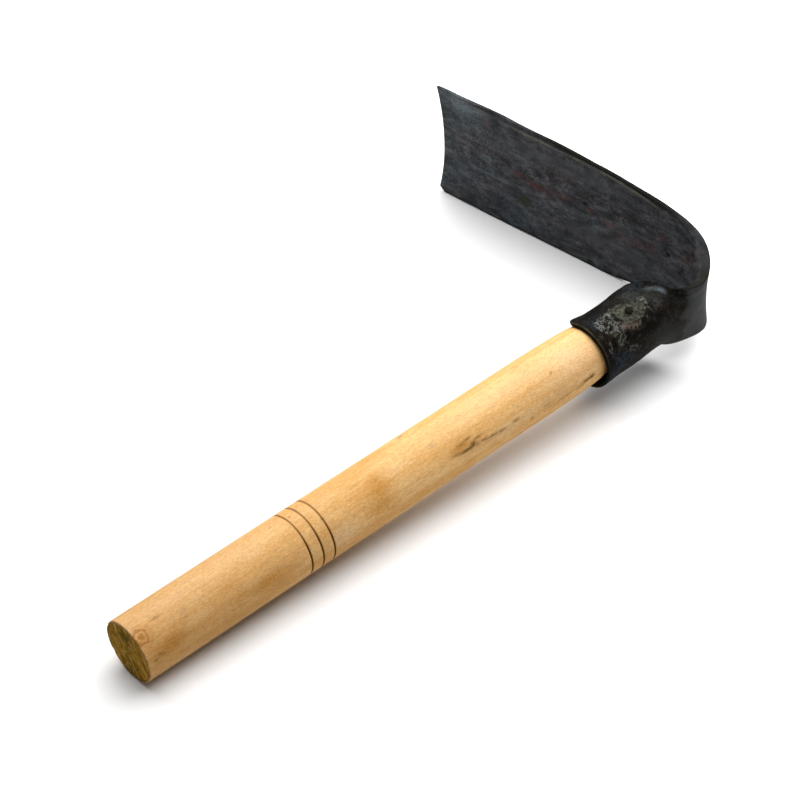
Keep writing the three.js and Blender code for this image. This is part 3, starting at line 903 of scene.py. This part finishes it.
def wood_material():
    wood = Shader("handle_wood")
    solid = wood.vector("own")
    fibres = wood.vector("own", (0.04, 1, 1))
    lines = wood.vector("own", (0.07, 1, 1))
    pores = wood.vector("own", (0.2, 1, 1))

    rings = wood.noise(wood.warped(wood.vector("own", (0.02, 1, 1)), 0.05, 2.2), 0.17, 2, 0.5)
    streaks = wood.noise(wood.warped(fibres, 0.1, 1.2), 0.5, 5, 0.65)
    grain = wood.noise(lines, 1.7, 4, 0.65)
    pore = wood.noise(pores, 2.6, 3, 0.6)
    cloud = wood.noise(wood.vector("own", (0.4, 1, 1)), 0.085, 4, 0.6)
    flecks = wood.noise(solid, 0.8, 4, 0.7)

    colour = wood.mix(wood.ramp(rings, 0.35, 0.65), HONEY, LIGHT_HONEY)
    colour = wood.mix(wood.ramp(cloud, 0.46, 0.66, 0, 0.55), colour, CLOUD_DARK)
    colour = wood.mix(wood.ramp(cloud, 0.44, 0.30, 0, 0.5), colour, CLOUD_LIGHT)
    colour = wood.mix(wood.ramp(streaks, 0.46, 0.68, 0, 0.38), colour, STREAK)
    colour = wood.mix(wood.ramp(grain, 0.5, 0.70, 0, 0.5), colour, GRAIN)
    colour = wood.mix(wood.ramp(flecks, 0.53, 0.70, 0, 0.38), colour, FLECK)

    # Amber stains, with painted shade along the handle's lower side
    amber_and_shade = wood.broken("amber_and_shade", cloud, 0.3, 0.55, 0.6, 1)
    amber_and_shade = wood.math("MULTIPLY", amber_and_shade, wood.ramp(flecks, 0.3, 0.6, 0.65, 1))
    colour = wood.mix(amber_and_shade, colour, AMBER_AND_SHADE)
    grey = wood.broken("grey", flecks, 0.35, 0.65, 0.35, 0.9)
    colour = wood.mix(grey, colour, GREYED)
    # Pale wood, with a painted highlight along the top of the handle
    pale_and_highlight = wood.broken("pale_and_highlight", cloud, 0.35, 0.6, 0.5, 0.9)
    colour = wood.mix(pale_and_highlight, colour, PALE_AND_HIGHLIGHT)
    stain = wood.broken("stain", flecks, 0.3, 0.5, 0.45, 1)
    colour = wood.mix(stain, colour, STAIN)

    # Grain that runs round the knot
    swerve = wood.math("MULTIPLY", wood.noise(solid, 0.3, 3), 4.0)
    around = wood.math("ADD", wood.number("knot"), swerve)
    wave = wood.math("SINE", wood.math("MULTIPLY", around, 2.6))
    knot = wood.math("MULTIPLY", wood.ramp(around, 9.0, 5.5), wood.ramp(wave, -0.6, 0.8, 0.25, 0.8))
    colour = wood.mix(knot, colour, KNOT_BROWN)

    colour = wood.mix(wood.number("groove"), colour, GROOVE_BROWN)
    colour = wood.mix(1.0, colour, wood.ramp(pore, 0.3, 0.7, 0.82, 1.18), "MULTIPLY")

    # Painted shade: darker towards the butt and inside the socket
    colour = wood.mix(wood.number("wood_shade"), colour, WOOD_SHADE, "MULTIPLY")

    # Sawn end: rough, dirty end grain with the saw's marks across it
    saw = wood.vector("own", (1, 1, 1), (SAW_TILT, 0, 0))
    saw = wood.add("ShaderNodeMapping", {"Vector": saw, "Scale": (1, 0.08, 1)}).outputs["Vector"]
    sawn = wood.noise(wood.warped(saw, 0.3, 1.4), 0.6, 5, 0.7)
    mould = wood.noise(solid, 0.32, 4, 0.7)
    end = wood.mix(wood.ramp(sawn, 0.40, 0.55), END_DARK, END_LIGHT)
    end = wood.mix(wood.ramp(mould, 0.46, 0.60, 0, 0.75), end, MOULD_DARK)
    end = wood.mix(wood.ramp(mould, 0.46, 0.36, 0, 0.7), end, MOULD_LIGHT)
    end = wood.mix(wood.ramp(flecks, 0.50, 0.62, 0, 0.6), end, END_OLIVE)
    grime = wood.broken("grime", flecks, 0.60, 0.42, 0.4, 1)
    end = wood.mix(wood.math("MULTIPLY", grime, 0.9), end, GRIME)
    colour = wood.mix(wood.number("end"), colour, end)
    rim = wood.broken("rim", flecks, 0.40, 0.58, 0.25, 1)
    colour = wood.mix(rim, colour, RIM_BROWN)

    rough = wood.ramp(streaks, 0.3, 0.7, 0.48, 0.64)
    rough = wood.math("ADD", rough, wood.math("MULTIPLY", wood.number("end"), 0.3))
    height = wood.math("ADD", wood.math("MULTIPLY", grain, 0.5), wood.math("MULTIPLY", pore, 0.4))
    normal = wood.bump(height, *GRAIN_BUMP)
    normal = wood.bump(wood.math("MULTIPLY", sawn, wood.number("end")), *SAWN_BUMP, normal)
    wood.set(Base_Color=colour, Roughness=rough, Normal=normal, Specular_IOR_Level=WOOD_SPECULAR)
    return wood.material


def grip_profile(x):
    """Radius of the handle along its length"""
    tip = GRIP_LENGTH + TENON_LENGTH
    shoulder = GRIP_LENGTH + TENON_SHOULDER
    taper = np.clip((x - GRIP_LENGTH + MOUTH_TAPER) / MOUTH_TAPER, 0, 1) ** 2
    grip = GRIP_RADIUS + (MOUTH_RADIUS - GRIP_RADIUS) * taper
    ease = np.clip(1 - x / BUTT_EASE, 0, 1)
    grip = grip - BUTT_EASE * (1 - np.sqrt(1 - ease**2))
    radii = [MOUTH_RADIUS, TENON_RADIUS, TENON_TIP_RADIUS]
    tenon = np.interp(x, [GRIP_LENGTH, shoulder, tip], radii)
    return np.where(x > GRIP_LENGTH, tenon, grip)


def groove_profile(x):
    """Share of the groove's depth, 1 at its bottom"""
    near = np.min([np.abs(x - g) for g in GROOVES], axis=0) / GROOVE_HALF_WIDTH
    return 0.5 + 0.5 * np.cos(math.pi * np.clip(near, 0, 1))


def handle_rows():
    """Places of the rings along the handle, closer together in the grooves and at the butt"""
    rings = [BUTT_EASE * (1 - np.cos(np.radians((0, 18, 36, 54, 72, 90))))]
    rings.append(np.arange(BUTT_EASE + 0.5, GRIP_LENGTH + TENON_LENGTH, HANDLE_STEP))
    reach = GROOVE_OVERLAP * GROOVE_HALF_WIDTH
    for g in GROOVES:
        rings.append(g + np.arange(-reach, reach, GROOVE_STEP))
    x = np.unique(np.concatenate([*rings, [GRIP_LENGTH + TENON_LENGTH]]))
    return x[np.append(True, np.diff(x) > 0.05)]


def round_points(x, angle, radius):
    return np.stack([x, -radius * np.cos(angle), radius * np.sin(angle)], axis=-1)


def handle_masks(points, butt_rows):
    """How much of each kind of mark shows at the points of the handle, and how far each point lies
    from the knot's centre. The first butt_rows rows are the sawn end"""
    x = points[..., 0]
    degrees = np.degrees(np.arctan2(points[..., 2], -points[..., 1]))
    end = np.zeros(x.shape)
    end[:butt_rows] = 1
    on_side = 1 - end
    rim = np.zeros(x.shape)
    rim[butt_rows - 1:butt_rows + RIM_ROWS_DARK] = RIM_STRENGTH
    side_marks = {
        "amber_and_shade": AMBER_AND_SHADE_MARKS, "stain": STAIN_MARKS, "grey": GREY_MARKS, "pale_and_highlight": PALE_AND_HIGHLIGHT_MARKS,
    }
    masks = {}
    for key, marks in side_marks.items():
        masks[key] = marks_mask(marks, x, degrees, 360) * on_side
    off_knot = np.radians(wrapped_degrees(degrees - KNOT[1])) * GRIP_RADIUS
    masks["knot"] = np.hypot(x - KNOT[0], off_knot)
    groove = smoothstep(groove_profile(x), 0.02, 0.5) * on_side
    masks["groove"] = groove * (1 - GROOVE_PALER * smoothstep(degrees, *GROOVE_PALER_FROM))
    masks["end"] = end
    # Painted shade towards the butt and inside the socket
    wood_shade = 1 - smoothstep(x, *WOOD_SHADE_TO)
    masks["wood_shade"] = wood_shade + smoothstep(x, GRIP_LENGTH, GRIP_LENGTH + TENON_SHADE)
    masks["rim"] = rim
    masks["grime"] = marks_mask(GRIME_MARKS, points[..., 1], points[..., 2]) * end
    return masks


def make_handle():
    rows = handle_rows()
    angle = np.arange(HANDLE_SIDES) * math.tau / HANDLE_SIDES
    x, a = np.meshgrid(rows, angle, indexing="ij")
    even = round_points(x, a, GRIP_RADIUS)
    wobble = sum(
        height * relief_noise(even, (length, width, width), seed)
        for height, length, width, seed in WOBBLE
    )
    wobble *= smoothstep(x, 0, WOBBLE_FADE)
    chips = CHIP_DEPTH * smoothstep(relief_noise(even, (3, 2.2, 2.2), 27), 0.45, 0.9)
    chips *= smoothstep(x, CHIP_REACH, 0)
    depth = GROOVE_DEPTH * (1 + GROOVE_UNEVEN * relief_noise(even, (4, 9, 9), 25))
    radius = grip_profile(x) + wobble - depth * groove_profile(x) - chips
    side = round_points(x, a, radius)

    # The sawn butt and the tenon's tip: rings shrinking to the axis
    shrink = np.linspace(1, 0, BUTT_RINGS + 1)[1:-1, None]
    butt = side[0] * [0, 1, 1] * shrink[..., None]
    saw = relief_noise(butt * [1, 1, 0.2], (30, 0.9, 6), 31)
    saw = saw + 0.6 * relief_noise(butt, (9, 2.4, 2.4), 33)
    butt[..., 0] = SAW_DEPTH * saw * smoothstep(1 - shrink, 0, 0.12)
    tip = side[-1] * [0, 1, 1] * np.reshape(TENON_TIP_RINGS, (-1, 1, 1)) + [rows[-1], 0, 0]
    points = np.concatenate([butt[::-1], side, tip])
    faces = grid_quads(len(points), HANDLE_SIDES)
    last = (len(points) - 1) * HANDLE_SIDES
    faces.append(list(range(HANDLE_SIDES))[::-1])
    faces.append(list(range(last, last + HANDLE_SIDES)))

    attributes = {key: values.ravel() for key, values in handle_masks(points, len(butt)).items()}
    attributes["own"] = points.reshape(-1, 3)
    material = wood_material()
    return make_piece(
        "handle_wood", points, faces, attributes, material, "handle"
    )


# ---- Nail ----
NAIL_BLACK = (0.004, 0.004, 0.0035)
NAIL_BROWN = (0.016, 0.012, 0.009)
NAIL_BUMP = (0.5, 0.0003)  # strength, metres

# Crown of the nail's head, from its middle out: depth, radius
NAIL_CROWN = ((0.06, 0.3), (0.0, 0.9), (0.12, 1.5), (0.4, 2.0), (0.62, NAIL_HEAD_RADIUS))
NAIL_UNDERSIDE = 0.97  # share of the head's radius
NAIL_LOBES = ((0.05, 3, 0.6), (0.03, 5, 0))  # out of round: height, number, phase
NAIL_DENTS = 0.07


def nail_material():
    iron = Shader("nail_steel")
    solid = iron.vector("own")
    rust = iron.noise(solid, 1.1, 4, 0.7)
    colour = iron.mix(iron.ramp(rust, 0.35, 0.65), NAIL_BLACK, NAIL_BROWN)
    rough = iron.ramp(rust, 0.3, 0.7, 0.5, 0.8)
    normal = iron.bump(iron.noise(solid, 2.2, 3, 0.6), *NAIL_BUMP)
    iron.set(Base_Color=colour, Roughness=rough, Normal=normal, Specular_IOR_Level=STEEL_SPECULAR)
    return iron.material


def make_nail():
    """A wrought nail driven towards the axis: a low, hammered head, then the shank and its point"""
    under_head = [NAIL_UNDERSIDE * NAIL_HEAD_RADIUS, NAIL_SHANK_RADIUS]
    under_head = [(NAIL_HEAD_HEIGHT, radius) for radius in under_head]
    shank = np.linspace(NAIL_SHANK_FROM, NAIL_LENGTH - NAIL_TIP, NAIL_RINGS)
    shank = [(down, NAIL_SHANK_RADIUS) for down in shank]
    profile = np.array([*NAIL_CROWN, *under_head, *shank, (NAIL_LENGTH, NAIL_POINT_RADIUS)])
    angle = np.arange(NAIL_SIDES) * math.tau / NAIL_SIDES
    down, a = np.meshgrid(profile[:, 0], angle, indexing="ij")
    lobes = (height * np.sin(number * a + phase) for height, number, phase in NAIL_LOBES)
    radius = profile[:, 1:] * sum(lobes, 1)
    own = np.stack([down, -radius * np.cos(a), radius * np.sin(a)], axis=-1)
    own[..., 0] += NAIL_DENTS * relief_noise(own, (1, 0.9, 0.9), 41) * (down < NAIL_HEAD_HEIGHT)

    tilt = math.radians(NAIL_ANGLE)
    outward = Vector((0, -math.cos(tilt), math.sin(tilt)))
    reach = TUBE_RADIUS + float(station(np.array(NAIL_FROM_MOUTH), 2)) / 2 + GAP + NAIL_HEAD_HEIGHT
    top = Vector((GRIP_LENGTH + NAIL_FROM_MOUTH, TUBE_OFFSET_Y, TUBE_OFFSET_Z)) + reach * outward
    turn = np.array(Vector((1, 0, 0)).rotation_difference(-outward).to_matrix())
    points = own.reshape(-1, 3) @ turn.T + np.array(top)
    faces = grid_quads(len(profile), NAIL_SIDES)
    faces.append(list(range(NAIL_SIDES))[::-1])
    last = (len(profile) - 1) * NAIL_SIDES
    faces.append(list(range(last, last + NAIL_SIDES)))
    attributes = {"own": own.reshape(-1, 3)}
    material = nail_material()
    return make_piece("nail", points, faces, attributes, material, "socket_nail")


# ---- Stage ----
def make_floor():
    floor = Shader("floor")
    floor.set(Base_Color=FLOOR_COLOUR, Roughness=0.9, Specular_IOR_Level=0.1)
    mesh = bpy.data.meshes.new("floor")
    corners = [(x * FLOOR_HALF_SIDE, y * FLOOR_HALF_SIDE, 0) for x, y in SQUARE]
    mesh.from_pydata(corners, [], [(0, 1, 2, 3)])
    mesh.materials.append(floor.material)
    plane = bpy.data.objects.new("floor", mesh)
    bpy.context.scene.collection.objects.link(plane)


def make_light():
    light = bpy.data.lights.new("softbox", "AREA")
    light.shape = "DISK"
    light.size = SOFTBOX_SIZE
    light.energy = SOFTBOX_POWER
    lamp = bpy.data.objects.new("softbox", light)
    lamp.location = SOFTBOX_PLACE
    beam = Vector(SOFTBOX_AIM) - Vector(SOFTBOX_PLACE)
    lamp.rotation_euler = beam.to_track_quat("-Z", "Y").to_euler()
    bpy.context.scene.collection.objects.link(lamp)

    world = bpy.data.worlds.new("studio")
    world.use_nodes = True
    sky = world.node_tree.nodes["Background"]
    sky.inputs["Color"].default_value = (1, 1, 1, 1)
    sky.inputs["Strength"].default_value = SKY_STRENGTH
    bpy.context.scene.world = world
    bpy.context.scene.view_settings.view_transform = "Standard"


def make_camera():
    azimuth = math.radians(CAMERA_AZIMUTH)
    elevation = math.radians(CAMERA_ELEVATION)
    level = Matrix.Rotation(azimuth, 4, "Z") @ Matrix.Rotation(math.pi / 2 - elevation, 4, "X")
    data = bpy.data.cameras.new("camera")
    data.lens = CAMERA_LENS
    data.sensor_width = SENSOR_WIDTH
    data.clip_start = NEAR_CLIP
    camera = bpy.data.objects.new("camera", data)
    roll = Matrix.Rotation(math.radians(CAMERA_ROLL), 4, "Z")
    camera.matrix_world = Matrix.Translation(CAMERA_PLACE) @ level @ roll
    bpy.context.scene.collection.objects.link(camera)
    bpy.context.scene.camera = camera


make_camera()
make_light()
make_floor()
make_head()
make_handle()
make_nail()
